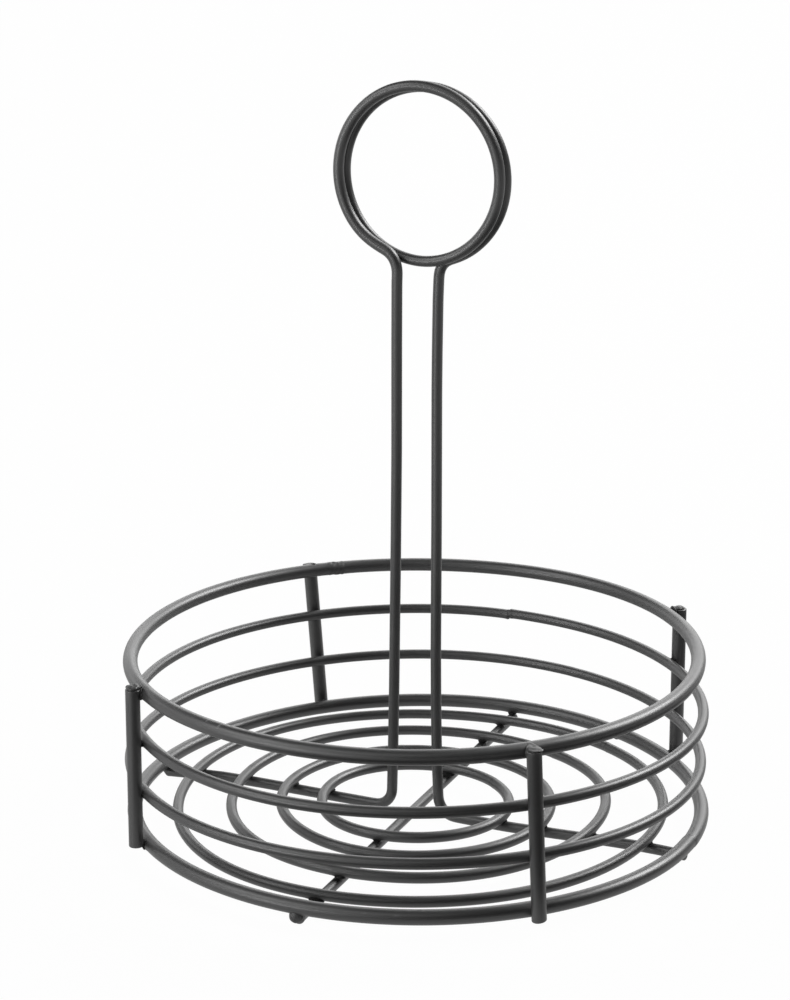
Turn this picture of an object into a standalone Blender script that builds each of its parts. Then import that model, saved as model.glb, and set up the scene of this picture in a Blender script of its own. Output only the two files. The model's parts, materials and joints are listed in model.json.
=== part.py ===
"""Round condiment rack of welded steel wire with a tall double-loop handle.

Units are metres, Z is up.  The origin lies on the table, on the axis of the
basket.  The feet of the handle run along X and the cross wire runs along Y.
Four rings make the basket's wall, four posts stand outside them, four smaller
rings make its floor, and the floor rests on the cross wire and on the handle's
two feet.  Every joint is a weld with a small bead.
"""
import math

import bmesh
import bpy
from mathutils import Vector

# Wire diameters
RIM_WIRE = 0.0046
HOOP_WIRE = 0.0034
BASE_WIRE = 0.0046
POST_WIRE = 0.0046
FLOOR_WIRE = 0.0034
CROSS_WIRE = 0.0034
HANDLE_WIRE = 0.0034

# Basket
BASKET_DIAMETER = 0.190
RIM_HEIGHT = 0.0576
HOOP_COUNT = 2
FLOOR_INNER_RADIUS = 0.0308
CROSS_WIRE_X = -0.0011
CROSS_FRONT_INSET = 0.0005
CROSS_BACK_INSET = 0.0014

# Floor rings: each ring's share of the way from the innermost to the base ring
FLOOR_SHARES = (0.0, 0.228, 0.506, 0.800)

# Posts: angle about the axis at the top and at the bottom end, in degrees, height
# of the bottom end, and rise of the top end above the middle of the rim's wire
POST_ENDS = {
    "back_right": (46.8, 46.8, 0.0045, 0.0012),
    "back_left": (135.4, 133.1, 0.0045, 0.0010),
    "front_left": (225.9, 225.9, 0.0055, 0.0020),
    "front_right": (313.2, 314.6, 0.0035, 0.0017),
}

# Handle
LOOP_Z = 0.2156
LOOP_WIDTH = 0.0529
LOOP_HEIGHT = 0.0549
LOOP_X = 0.0013
TURN_GAP = 0.0006
LOOP_DRIFT_X = 0.0008
LOOP_DRIFT_Z = -0.0014
LEFT_LEG_TOP_X = -0.0051
LEFT_LEG_FOOT_X = -0.0086
RIGHT_LEG_TOP_X = 0.0056
RIGHT_LEG_FOOT_X = 0.0068
LEFT_NECK_BEND = 0.0083
RIGHT_NECK_BEND = 0.0097
FOOT_BEND = 0.0050
FOOT_END_INSET = 0.0015

# Joints and wire ends
WELD_GAP = 0.0003
BEAD_CLEARANCE = 0.0003
BEAD_LENGTH = 0.0026
BEAD_LEG = 0.0015
BEAD_WRAP = math.radians(36.0)
# Stations along a bead: share of its length from the middle, and scale there
BEAD_STATIONS = ((-0.5, 0.4), (-0.3, 1.0), (0.3, 1.0), (0.5, 0.4))
CAP_BEAD_LENGTH = 0.0040
CAP_BEAD_REACH = 0.0034
CAP_BEAD_CROWN = 0.0009
END_CHAMFER = 0.0005

# Coat: grey value and roughness on the wires and on the beads
WIRE_GREY = 0.026
WIRE_ROUGHNESS = 0.42
BEAD_GREY = 0.022
BEAD_ROUGHNESS = 0.50

# Fineness of the round shapes; sides are a multiple of four, so that a flat
# of each wire faces the wire that it is welded to
LIGHT_SIDES = 8
HEAVY_SIDES = 12
RING_STEP = 0.0098
LEAST_QUARTER_STEPS = 6
TURN_POINTS = 24
BEND_POINTS = 7
ROUND_ANGLE = math.radians(50.0)
# Points closer than this along a wire are neighbours, in wire diameters
NEIGHBOUR_REACH = 6

UP = Vector((0.0, 0.0, 1.0))
DOWN = Vector((0.0, 0.0, -1.0))

# Sizes that follow from those above
BASKET_RADIUS = BASKET_DIAMETER / 2
SUPPORT_TOP = max(HANDLE_WIRE, CROSS_WIRE)
FOOT_Z = SUPPORT_TOP - HANDLE_WIRE / 2
FOOT_REACH = BASKET_RADIUS - FOOT_END_INSET
CROSS_Z = SUPPORT_TOP - CROSS_WIRE / 2
CROSS_FRONT_Y = CROSS_FRONT_INSET - BASKET_RADIUS
CROSS_BACK_Y = BASKET_RADIUS - CROSS_BACK_INSET
BASE_Z = SUPPORT_TOP + WELD_GAP + BASE_WIRE / 2
FLOOR_Z = SUPPORT_TOP + WELD_GAP + FLOOR_WIRE / 2
HOOP_SPACING = (RIM_HEIGHT - BASE_Z) / (HOOP_COUNT + 1)
POST_RADIUS = BASKET_RADIUS + WELD_GAP + POST_WIRE / 2
LOOP_PITCH = HANDLE_WIRE + TURN_GAP
BASE_RADIUS = BASKET_RADIUS - BASE_WIRE / 2
FLOOR_SPREAD = BASE_RADIUS - FLOOR_INNER_RADIUS


def clear_scene():
    """Remove every object of the open scene."""
    for thing in list(bpy.data.objects):
        bpy.data.objects.remove(thing, do_unlink=True)


def satin_black(name, value, roughness):
    """Black powder coat of one piece: a dark grey with a soft sheen."""
    material = bpy.data.materials.new(name)
    material.use_nodes = True
    shader = material.node_tree.nodes["Principled BSDF"]
    shader.inputs["Base Color"].default_value = (value, value, value, 1.0)
    shader.inputs["Roughness"].default_value = roughness
    shader.inputs["Metallic"].default_value = 0.0
    return material


def add_piece(name, shape, rack, value=WIRE_GREY, roughness=WIRE_ROUGHNESS):
    """Turn a finished bmesh into a named, smooth-shaded object of the rack."""
    bmesh.ops.recalc_face_normals(shape, faces=shape.faces)
    mesh = bpy.data.meshes.new(name)
    shape.to_mesh(mesh)
    shape.free()
    mesh.shade_smooth()
    mesh.set_sharp_from_angle(angle=ROUND_ANGLE)
    mesh.materials.append(satin_black(name + "_coat", value, roughness))
    piece = bpy.data.objects.new(name, mesh)
    piece.parent = rack
    bpy.context.scene.collection.objects.link(piece)
    return piece


def corner_radius(radius, sides):
    """Distance from a wire's centre line to the corners of its section."""
    return radius / math.cos(math.pi / sides)


def section(radius, sides):
    """Corners of a wire's section, whose flats face the section's two axes."""
    reach = corner_radius(radius, sides)
    turn = 2 * math.pi / sides
    angles = [(corner + 0.5) * turn for corner in range(sides)]
    return [(reach * math.cos(angle), reach * math.sin(angle)) for angle in angles]


def direction(angle):
    """Unit vector that points away from the axis at an angle in radians."""
    return Vector((math.cos(angle), math.sin(angle), 0.0))


def ring_steps(radius):
    """Number of straight steps round a ring, a multiple of four."""
    return 4 * max(LEAST_QUARTER_STEPS, round(2 * math.pi * radius / RING_STEP / 4))


def ring(name, radius, height, diameter, sides, rack):
    """Closed ring of wire: the wire's section spun about the axis."""
    shape = bmesh.new()
    corners = [
        shape.verts.new((radius + outward, 0.0, height + upward))
        for outward, upward in section(diameter / 2, sides)
    ]
    edges = [shape.edges.new((corners[i - 1], corners[i])) for i in range(sides)]
    bmesh.ops.spin(
        shape,
        geom=corners + edges,
        cent=(0.0, 0.0, 0.0),
        axis=UP,
        angle=2 * math.pi,
        steps=ring_steps(radius),
        use_merge=True,
    )
    return add_piece(name, shape, rack)


def tangents(points):
    """Unit directions along a line of points, halved at each corner."""
    last = len(points) - 1
    return [
        (points[min(i + 1, last)] - points[max(i - 1, 0)]).normalized()
        for i in range(len(points))
    ]


def rod(name, points, diameter, sides, facing, rack):
    """Open wire along points, its flats turned to facing, its ends chamfered."""
    headings = tangents(points)
    radius = diameter / 2
    slim = (radius - END_CHAMFER) / radius
    stations = [(points[0], headings[0], slim)]
    stations.append((points[0] + END_CHAMFER * headings[0], headings[0], 1.0))
    stations += [(point, heading, 1.0) for point, heading in zip(points[1:-1], headings[1:-1])]
    stations.append((points[-1] - END_CHAMFER * headings[-1], headings[-1], 1.0))
    stations.append((points[-1], headings[-1], slim))
    shape = bmesh.new()
    loops = []
    for point, heading, scale in stations:
        first = (facing - facing.dot(heading) * heading).normalized()
        second = heading.cross(first)
        loops.append([
            shape.verts.new(point + scale * (a * first + b * second))
            for a, b in section(radius, sides)
        ])
    skin(shape, loops)
    return add_piece(name, shape, rack)


def skin(shape, loops):
    """Close a row of point loops of equal count into one solid."""
    count = len(loops[0])
    for near, far in zip(loops, loops[1:]):
        for i in range(count):
            shape.faces.new((near[i - 1], near[i], far[i], far[i - 1]))
    shape.faces.new(loops[0])
    shape.faces.new(loops[-1])


def arc(centre, radius, start, end, count):
    """Points of an arc in the handle's plane, as (x, z), both ends included."""
    angles = [start + (end - start) * i / (count - 1) for i in range(count)]
    return [
        (centre[0] + radius * math.cos(angle), centre[1] + radius * math.sin(angle))
        for angle in angles
    ]


def widen(x):
    """Sideways place as it would be if the loop were as wide as it is tall."""
    return LOOP_X + (x - LOOP_X) * LOOP_HEIGHT / LOOP_WIDTH


def narrow(x):
    """Sideways place back on the real loop, which is narrower than tall."""
    return LOOP_X + (x - LOOP_X) * LOOP_WIDTH / LOOP_HEIGHT


def handle_points():
    """Centre line of the handle wire, from the left foot's end to the right's.

    The left leg bends outwards at its neck and runs into the loop from below.
    The loop is a helix of nearly two turns towards the back, and the right leg
    bends out of its last turn.  Both necks are arcs that touch the loop's circle.
    """
    radius = LOOP_HEIGHT / 2
    left_x = widen(LEFT_LEG_TOP_X)
    right_x = widen(RIGHT_LEG_TOP_X)
    end_x = LOOP_X + LOOP_DRIFT_X
    end_z = LOOP_Z + LOOP_DRIFT_Z

    left_centre_x = left_x - LEFT_NECK_BEND
    left_apart = radius + LEFT_NECK_BEND
    left_neck_z = LOOP_Z - math.sqrt(left_apart**2 - (LOOP_X - left_centre_x) ** 2)
    left_turn = math.atan2(LOOP_Z - left_neck_z, LOOP_X - left_centre_x)

    right_centre_x = right_x + RIGHT_NECK_BEND
    right_apart = radius + RIGHT_NECK_BEND
    right_neck_z = end_z - math.sqrt(right_apart**2 - (right_centre_x - end_x) ** 2)
    right_turn = math.atan2(right_neck_z - end_z, right_centre_x - end_x)

    loop_start = left_turn + math.pi
    sweep = loop_start - right_turn + 2 * math.pi
    loop_depth = LOOP_PITCH * sweep / (2 * math.pi)

    left_neck = arc((left_centre_x, left_neck_z), LEFT_NECK_BEND, 0.0, left_turn, BEND_POINTS)
    right_neck = arc(
        (right_centre_x, right_neck_z), RIGHT_NECK_BEND, right_turn + math.pi, math.pi, BEND_POINTS
    )
    points = foot_points(LEFT_LEG_FOOT_X, -1)
    points += [Vector((narrow(x), -loop_depth / 2, z)) for x, z in left_neck[:-1]]
    count = round(TURN_POINTS * sweep / (2 * math.pi))
    for i in range(count + 1):
        share = i / count
        angle = loop_start - share * sweep
        x = LOOP_X + share * LOOP_DRIFT_X + radius * math.cos(angle)
        z = LOOP_Z + share * LOOP_DRIFT_Z + radius * math.sin(angle)
        points.append(Vector((narrow(x), (share - 0.5) * loop_depth, z)))
    points += [Vector((narrow(x), loop_depth / 2, z)) for x, z in right_neck[1:]]
    points += reversed(foot_points(RIGHT_LEG_FOOT_X, 1))
    return points


def foot_points(leg_x, side):
    """A foot's centre line, from its end in to the leg; side is -1 or 1 along X."""
    centre = (leg_x + side * FOOT_BEND, FOOT_Z + FOOT_BEND)
    quarter = math.pi / 2
    bend = arc(centre, FOOT_BEND, -quarter, -quarter - side * quarter, BEND_POINTS)
    points = [Vector((side * FOOT_REACH, 0.0, FOOT_Z))]
    points += [Vector((x, 0.0, z)) for x, z in bend]
    return points


def least_self_gap(points, diameter):
    """Least gap of a wire to itself, between points far apart along it."""
    lengths = [0.0]
    for near, far in zip(points, points[1:]):
        lengths.append(lengths[-1] + (far - near).length)
    apart = NEIGHBOUR_REACH * diameter
    gaps = [
        (points[i] - points[j]).length - diameter
        for i in range(len(points))
        for j in range(i)
        if lengths[i] - lengths[j] > apart
    ]
    return min(gaps)


def bead(name, profile, place, along, toward, side, length, rack):
    """Weld bead: a profile of (toward, side) points along a joint, slim at both ends."""
    root = profile[0]
    shape = bmesh.new()
    loops = []
    for share, scale in BEAD_STATIONS:
        loop = []
        for out, up in profile:
            out = root[0] + scale * (out - root[0])
            up = root[1] + scale * (up - root[1])
            loop.append(shape.verts.new(place + share * length * along + out * toward + up * side))
        loops.append(loop)
    skin(shape, loops)
    return add_piece(name, shape, rack, value=BEAD_GREY, roughness=BEAD_ROUGHNESS)


def wrap_points(skirt, root_angle):
    """The end and the middle of a bead's stretch round the ring's wire."""
    angles = (root_angle + BEAD_WRAP, root_angle + BEAD_WRAP / 2)
    return [(skirt * math.cos(angle), skirt * math.sin(angle)) for angle in angles]


def corner_profile(diameter, sides):
    """Profile of a bead in the corner between a wire and the wire that it crosses."""
    radius = diameter / 2
    wall = radius + WELD_GAP - BEAD_CLEARANCE
    skirt = max(wall, corner_radius(radius, sides) + BEAD_CLEARANCE)
    root_angle = math.acos(wall / skirt)
    root = (wall, skirt * math.sin(root_angle))
    crown = (wall, root[1] + BEAD_LEG)
    return [root, crown] + wrap_points(skirt, root_angle)


def cap_profile(rise):
    """Profile of the bead on a post's top end and on the rim, for the end's rise."""
    radius = RIM_WIRE / 2
    skirt = corner_radius(radius, HEAVY_SIDES) + BEAD_CLEARANCE
    floor = rise + BEAD_CLEARANCE
    root = (math.sqrt(skirt**2 - floor**2), floor)
    root_angle = math.atan2(root[1], root[0])
    toe = (root[0] + CAP_BEAD_REACH, floor)
    brow = (root[0] + CAP_BEAD_REACH / 2, floor + CAP_BEAD_CROWN)
    return [root, toe, brow] + wrap_points(skirt, root_angle)


def post_angle(ends, height):
    """Angle of a leaning post about the axis at a height, in radians."""
    top, bottom, bottom_height, rise = ends
    share = (height - bottom_height) / (RIM_HEIGHT + rise - bottom_height)
    return math.radians(bottom + share * (top - bottom))


def build_wall(rack):
    """Rim, hoops and base ring.  Returns name, height, wire and sides of each."""
    rows = [("base_ring", BASE_Z, BASE_WIRE, HEAVY_SIDES)]
    for i in range(HOOP_COUNT):
        height = BASE_Z + (i + 1) * HOOP_SPACING
        rows.append((f"hoop_{i + 1}", height, HOOP_WIRE, LIGHT_SIDES))
    rows.append(("rim_ring", RIM_HEIGHT, RIM_WIRE, HEAVY_SIDES))
    for name, height, wire, sides in rows:
        ring(name, BASKET_RADIUS - wire / 2, height, wire, sides, rack)
    return rows


def build_posts(rack, rows):
    """Four posts outside the wall rings, and the beads that hold them."""
    for corner, ends in POST_ENDS.items():
        bottom_height, rise = ends[2:]
        heights = (bottom_height, RIM_HEIGHT + rise)
        points = [POST_RADIUS * direction(post_angle(ends, height)) + height * UP for height in heights]
        outward = direction(post_angle(ends, sum(heights) / 2))
        rod("post_" + corner, points, POST_WIRE, HEAVY_SIDES, outward, rack)
        for name, height, wire, sides in rows:
            outward = direction(post_angle(ends, height))
            place = (BASKET_RADIUS - wire / 2) * outward + height * UP
            profile = corner_profile(wire, sides)
            length = BEAD_LENGTH
            if name == "rim_ring":
                profile = cap_profile(rise)
                length = CAP_BEAD_LENGTH
            bead(f"weld_{name}_{corner}", profile, place, UP.cross(outward), outward, UP, length, rack)


def crossing_places():
    """Where the supports run out under the rings: name, heading and sideways X offset."""
    return [
        ("left_foot", Vector((-1.0, 0.0, 0.0)), 0.0),
        ("right_foot", Vector((1.0, 0.0, 0.0)), 0.0),
        ("cross_front", Vector((0.0, -1.0, 0.0)), CROSS_WIRE_X),
        ("cross_back", Vector((0.0, 1.0, 0.0)), CROSS_WIRE_X),
    ]


def build_floor(rack):
    """Four floor rings, and the beads where floor and base rings cross their supports."""
    rings = [("base_ring", BASE_RADIUS, BASE_Z, BASE_WIRE, HEAVY_SIDES)]
    for i, share in enumerate(FLOOR_SHARES):
        name = f"floor_ring_{i + 1}"
        radius = FLOOR_INNER_RADIUS + share * FLOOR_SPREAD
        ring(name, radius, FLOOR_Z, FLOOR_WIRE, LIGHT_SIDES, rack)
        rings.append((name, radius, FLOOR_Z, FLOOR_WIRE, LIGHT_SIDES))
    for name, radius, height, wire, sides in rings:
        profile = corner_profile(wire, sides)
        for support, heading, offset in crossing_places():
            reach = math.sqrt(radius**2 - offset**2)
            place = reach * heading + Vector((offset, 0.0, height))
            inward = -Vector((place.x, place.y, 0.0)).normalized()
            along = UP.cross(inward)
            bead(f"weld_{name}_{support}", profile, place, along, DOWN, inward, BEAD_LENGTH, rack)


def build_cross_wire(rack):
    """Straight wire under the floor, from front to back between the handle's legs."""
    ends = [
        Vector((CROSS_WIRE_X, CROSS_FRONT_Y, CROSS_Z)),
        Vector((CROSS_WIRE_X, CROSS_BACK_Y, CROSS_Z)),
    ]
    rod("cross_wire", ends, CROSS_WIRE, LIGHT_SIDES, Vector((1.0, 0.0, 0.0)), rack)


def build_handle(rack):
    """Handle: one unbroken wire with two feet, two legs and a double loop."""
    points = handle_points()
    rod("handle_wire", points, HANDLE_WIRE, LIGHT_SIDES, Vector((0.0, 1.0, 0.0)), rack)
    print(f"handle wire: least gap to itself {1000 * least_self_gap(points, HANDLE_WIRE):.2f} mm")


def main():
    """Build the whole rack."""
    clear_scene()
    rack = bpy.data.objects.new("condiment_rack", None)
    bpy.context.scene.collection.objects.link(rack)
    rows = build_wall(rack)
    build_posts(rack, rows)
    build_floor(rack)
    build_cross_wire(rack)
    build_handle(rack)


main()
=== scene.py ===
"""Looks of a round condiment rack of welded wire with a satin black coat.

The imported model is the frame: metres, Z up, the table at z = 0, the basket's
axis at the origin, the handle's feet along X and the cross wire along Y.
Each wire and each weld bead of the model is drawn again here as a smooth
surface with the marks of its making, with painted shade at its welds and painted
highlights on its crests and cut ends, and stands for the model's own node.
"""

import json
import logging
import math
from dataclasses import dataclass, field
from enum import Enum

import bpy
import numpy as np
from mathutils import Matrix, Vector

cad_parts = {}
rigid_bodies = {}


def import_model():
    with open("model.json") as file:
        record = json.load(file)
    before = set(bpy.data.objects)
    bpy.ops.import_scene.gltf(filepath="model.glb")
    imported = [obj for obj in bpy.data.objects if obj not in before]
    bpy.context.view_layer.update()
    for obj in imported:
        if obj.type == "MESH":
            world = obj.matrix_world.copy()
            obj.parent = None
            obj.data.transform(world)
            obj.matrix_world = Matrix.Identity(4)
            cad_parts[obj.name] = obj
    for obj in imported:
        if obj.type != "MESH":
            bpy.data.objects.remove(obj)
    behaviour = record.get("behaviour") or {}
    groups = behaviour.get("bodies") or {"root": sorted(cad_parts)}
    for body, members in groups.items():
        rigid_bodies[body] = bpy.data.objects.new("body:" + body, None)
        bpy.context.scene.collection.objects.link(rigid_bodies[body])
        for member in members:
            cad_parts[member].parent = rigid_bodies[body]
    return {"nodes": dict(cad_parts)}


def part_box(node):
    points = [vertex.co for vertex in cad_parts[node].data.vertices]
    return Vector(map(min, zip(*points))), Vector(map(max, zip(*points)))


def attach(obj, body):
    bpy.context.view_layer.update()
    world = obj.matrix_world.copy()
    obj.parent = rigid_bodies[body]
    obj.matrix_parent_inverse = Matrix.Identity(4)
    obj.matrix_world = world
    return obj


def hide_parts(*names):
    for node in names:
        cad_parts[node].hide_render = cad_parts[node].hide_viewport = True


LOG = logging.getLogger("condiment_rack")
BODY = "root"
MM = 0.001
TURN = 2.0 * math.pi
UP = np.array((0.0, 0.0, 1.0))


class Slot(Enum):
    """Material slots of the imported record."""

    WIRE = "wire_coat"
    WELD = "weld_coat"


class Corner(Enum):
    """The four posts, by where they stand."""

    BACK_RIGHT = "back_right"
    BACK_LEFT = "back_left"
    FRONT_LEFT = "front_left"
    FRONT_RIGHT = "front_right"


class Support(Enum):
    """The wires under the floor, by the way that they run out from the middle."""

    LEFT_FOOT = "left_foot"
    RIGHT_FOOT = "right_foot"
    CROSS_FRONT = "cross_front"
    CROSS_BACK = "cross_back"

    @property
    def turn(self) -> float:
        """Angle at which the wire runs out from the middle, in radians."""
        quarters = {"left_foot": 2.0, "right_foot": 0.0, "cross_front": -1.0, "cross_back": 1.0}
        return quarters[self.value] * math.pi / 2.0


def mm(*values: float) -> tuple[float, ...]:
    """Lengths in metres, from millimetres."""
    return tuple(value * MM for value in values)


def opaque(grey: float) -> tuple[float, float, float, float]:
    """Opaque colour of equal red, green and blue."""
    return (grey, grey, grey, 1.0)


def unit(vectors: np.ndarray) -> np.ndarray:
    """Vectors scaled to length one."""
    return vectors / np.linalg.norm(vectors, axis=-1, keepdims=True)


def heading(angle: float) -> np.ndarray:
    """Unit vector away from the basket's axis at an angle in radians."""
    return np.array((math.cos(angle), math.sin(angle), 0.0))


def wrapped(angle: np.ndarray) -> np.ndarray:
    """Angles brought to the range from minus half a turn to half a turn."""
    return (angle + math.pi) % TURN - math.pi


def bell(distance: np.ndarray, reach: float) -> np.ndarray:
    """Bell curve of a distance: exp(-(distance / reach) squared)."""
    return np.exp(-((distance / reach) ** 2))


def ripple(points: np.ndarray, seed: int, size: float, waves: int = 7) -> np.ndarray:
    """Smooth uneven height at each point, about -1 to 1.

    It is the sum of sine waves of drawn direction, phase and a wavelength near
    size, over the square root of their number.

    Args:
        points: Places, in metres, in an array whose last axis is xyz.
        seed: Seed of the draw, so that each run gives the same height.
        size: Typical distance between two crests, in metres.
        waves: Number of waves.

    Returns:
        One height per point.
    """
    shortest, longest = 0.7, 1.5
    draw = np.random.default_rng(seed)
    heads = unit(draw.normal(size=(waves, 3)))
    sizes = size * draw.uniform(shortest, longest, waves)
    phases = draw.uniform(0.0, TURN, waves)
    return np.sin(points @ (heads * (TURN / sizes[:, None])).T + phases).sum(-1) / math.sqrt(waves)


def walked(points: np.ndarray) -> np.ndarray:
    """Distance walked along a line of points, at each of them."""
    return np.concatenate(((0.0,), np.linalg.norm(np.diff(points, axis=0), axis=1).cumsum()))


def placed(rows: np.ndarray, knots: np.ndarray, points: np.ndarray) -> np.ndarray:
    """Places on a line of points: each of xyz read at the rows between the points' knots."""
    return np.stack([np.interp(rows, knots, points[:, axis]) for axis in range(3)], -1)


def nearness(points: np.ndarray, spots: np.ndarray, reach: float) -> np.ndarray:
    """How near each point lies to the closest of some spots, from 0 far off to 1.

    Args:
        points: Places in an array whose last axis is xyz.
        spots: Spots as an array of rows of xyz.
        reach: Distance at which the nearness has fallen to 1 / e.

    Returns:
        One bell curve value per point.
    """
    distance = np.linalg.norm(points[..., None, :] - spots, axis=-1).min(-1)
    return bell(distance, reach)


@dataclass
class Skin:
    """A surface of closed sections in a row.

    grid holds rows of section points.  The next two say, from 0 to 1, how far
    the coat is painted pale there, as rub wear and as a painted highlight on crests
    and cut ends, and how far it is painted dark, as painted shade near welds and in
    the hollows of beads, and on the burnt skin of seams.
    A looped skin joins its last row to its first; any other ends in two poles.
    """

    grid: np.ndarray
    wear_and_sheen: np.ndarray
    shade_and_burn: np.ndarray
    looped: bool = False

    def points(self) -> np.ndarray:
        """All points in order, with the two poles of an open skin at the end."""
        return self.spread(self.grid)

    def spread(self, values: np.ndarray) -> np.ndarray:
        """Put values of the grid in the order of points.

        Args:
            values: One value, or one row of them, for each point of the grid.

        Returns:
            The values in that order, each pole of an open skin with the mean of its row.
        """
        flat = values.reshape(-1, *values.shape[2:])
        if self.looped:
            return flat
        return np.concatenate((flat, values[:1].mean(1), values[-1:].mean(1)))

    def faces(self) -> tuple[np.ndarray, np.ndarray]:
        """Faces of the skin, turned so that they look outwards.

        Returns:
            Four-sided faces and, for an open skin, the triangles round its poles.
        """
        rows, columns = self.grid.shape[:2]
        index = np.arange(rows * columns).reshape(rows, columns)
        near = index if self.looped else index[:-1]
        far = np.roll(index, -1, axis=0) if self.looped else index[1:]
        quads = np.stack((near, np.roll(near, -1, 1), np.roll(far, -1, 1), far), -1).reshape(-1, 4)
        fans = np.empty((0, 3), int)
        if not self.looped:
            first, last = index[0], index[-1]
            low = np.full(columns, rows * columns)
            fans = np.concatenate((
                np.stack((low, np.roll(first, -1), first), -1),
                np.stack((low + 1, last, np.roll(last, -1)), -1),
            ))
        if self.volume(quads, fans) < 0.0:
            quads, fans = quads[:, ::-1], fans[:, ::-1]
        return quads, fans

    def volume(self, quads: np.ndarray, fans: np.ndarray) -> float:
        """Six times the signed volume inside faces.

        It is the sum, over triangles, of the first corner dotted with the cross product
        of the other two.

        Args:
            quads: Four-sided faces, as rows of point numbers.
            fans: Triangles, as rows of point numbers.

        Returns:
            A number above zero if the faces look outwards.
        """
        points = self.points()
        corners = points[np.concatenate((quads[:, (0, 1, 2)], quads[:, (0, 2, 3)], fans))]
        return float(np.einsum("ij,ij->i", corners[:, 0], np.cross(corners[:, 1], corners[:, 2])).sum())


def add_piece(
    name: str, skins: list[Skin], material: bpy.types.Material, node: str
) -> None:
    """Put skins into one smooth piece on the rack's one body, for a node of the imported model.

    Args:
        name: Name of the new piece.
        skins: Closed surfaces of the piece.
        material: Coat of the piece.
        node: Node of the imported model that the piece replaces.
    """
    points, faces, wear_and_sheen, shade_and_burn = [], [], [], []
    start = 0
    for skin in skins:
        quads, fans = skin.faces()
        faces += (quads + start).tolist() + (fans + start).tolist()
        points.append(skin.points())
        wear_and_sheen.append(skin.spread(skin.wear_and_sheen))
        shade_and_burn.append(skin.spread(skin.shade_and_burn))
        start += len(points[-1])
    mesh = bpy.data.meshes.new(name)
    mesh.from_pydata(np.concatenate(points).tolist(), [], faces)
    for label, values in (("wear_and_sheen", wear_and_sheen), ("shade_and_burn", shade_and_burn)):
        attribute = mesh.attributes.new(label, "FLOAT", "POINT")
        attribute.data.foreach_set("value", np.concatenate(values).astype(np.float32))
    mesh.shade_smooth()
    mesh.materials.append(material)
    piece = bpy.data.objects.new(name, mesh)
    bpy.context.scene.collection.objects.link(piece)
    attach(piece, BODY)
    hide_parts(node)
    LOG.info("%s: %d faces for %s", name, len(faces), node)


class Reading:
    """A value that a node gives out, with plain arithmetic that adds Math nodes."""

    def __init__(self, bench: "Bench", socket: bpy.types.NodeSocket) -> None:
        """Hold the bench that the node stands on, and the node's output socket."""
        self.bench = bench
        self.socket = socket

    def math(self, operation: str, first: object, second: object) -> "Reading":
        """Result of one Math node on two values or readings."""
        settings = {"operation": operation}
        return self.bench.node("ShaderNodeMath", settings, {0: first, 1: second}, "Value")

    def __add__(self, other: object) -> "Reading":
        """Sum with a number or another reading."""
        return self.math("ADD", self, other)

    def __radd__(self, other: object) -> "Reading":
        """Sum with a number on the left."""
        return self.math("ADD", other, self)

    def __sub__(self, other: object) -> "Reading":
        """Difference from a number or another reading."""
        return self.math("SUBTRACT", self, other)

    def __rsub__(self, other: object) -> "Reading":
        """Number on the left less this reading."""
        return self.math("SUBTRACT", other, self)

    def __mul__(self, other: object) -> "Reading":
        """Product with a number or another reading."""
        return self.math("MULTIPLY", self, other)

    def __rmul__(self, other: object) -> "Reading":
        """Product with a number on the left."""
        return self.math("MULTIPLY", other, self)

    def between(self, low: float, high: float) -> "Reading":
        """Smooth step of the reading.

        Args:
            low: Value at which the step begins.
            high: Value at which it ends.

        Returns:
            A reading that goes from 0 at low to 1 at high.
        """
        settings = {"interpolation_type": "SMOOTHSTEP"}
        inputs = {"Value": self, "From Min": low, "From Max": high}
        return self.bench.node("ShaderNodeMapRange", settings, inputs, "Result")


class Bench:
    """A node tree in the making, with one method that adds any node."""

    def __init__(self, tree: bpy.types.NodeTree) -> None:
        """Start on an empty tree."""
        self.tree = tree
        tree.nodes.clear()

    def node(
        self,
        kind: str,
        settings: dict[str, object],
        inputs: dict[str | int, object],
        output: str | int = 0,
    ) -> Reading | None:
        """Add a node, set it up and feed its sockets.

        Args:
            kind: Type of the node.
            settings: Properties of the node, which are set first.
            inputs: Values or readings by socket name or number.
            output: Name or number of the socket to read.

        Returns:
            The reading of that socket, or None for a node that gives nothing out.
        """
        made = self.tree.nodes.new(kind)
        for name, value in settings.items():
            setattr(made, name, value)
        for name, value in inputs.items():
            if isinstance(value, Reading):
                self.tree.links.new(value.socket, made.inputs[name])
            else:
                made.inputs[name].default_value = value
        return Reading(self, made.outputs[output]) if made.outputs else None

    def noise(self, place: Reading, scale: float, detail: float, share: float = 0.5) -> Reading:
        """Noise from 0 to 1, with scale features to the metre."""
        inputs = {"Vector": place, "Scale": scale, "Detail": detail, "Roughness": share}
        return self.node("ShaderNodeTexNoise", {}, inputs, "Fac")

    def mark(self, label: str) -> Reading:
        """Number that the piece's own attribute gives."""
        settings = {"attribute_type": "GEOMETRY", "attribute_name": label}
        return self.node("ShaderNodeAttribute", settings, {}, "Fac")


def new_material(name: str) -> tuple[bpy.types.Material, Bench]:
    """Start a node material.

    Args:
        name: Name of the material.

    Returns:
        The empty material, and the bench to make its nodes on.
    """
    made = bpy.data.materials.new(name)
    made.use_nodes = True
    return made, Bench(made.node_tree)


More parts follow.
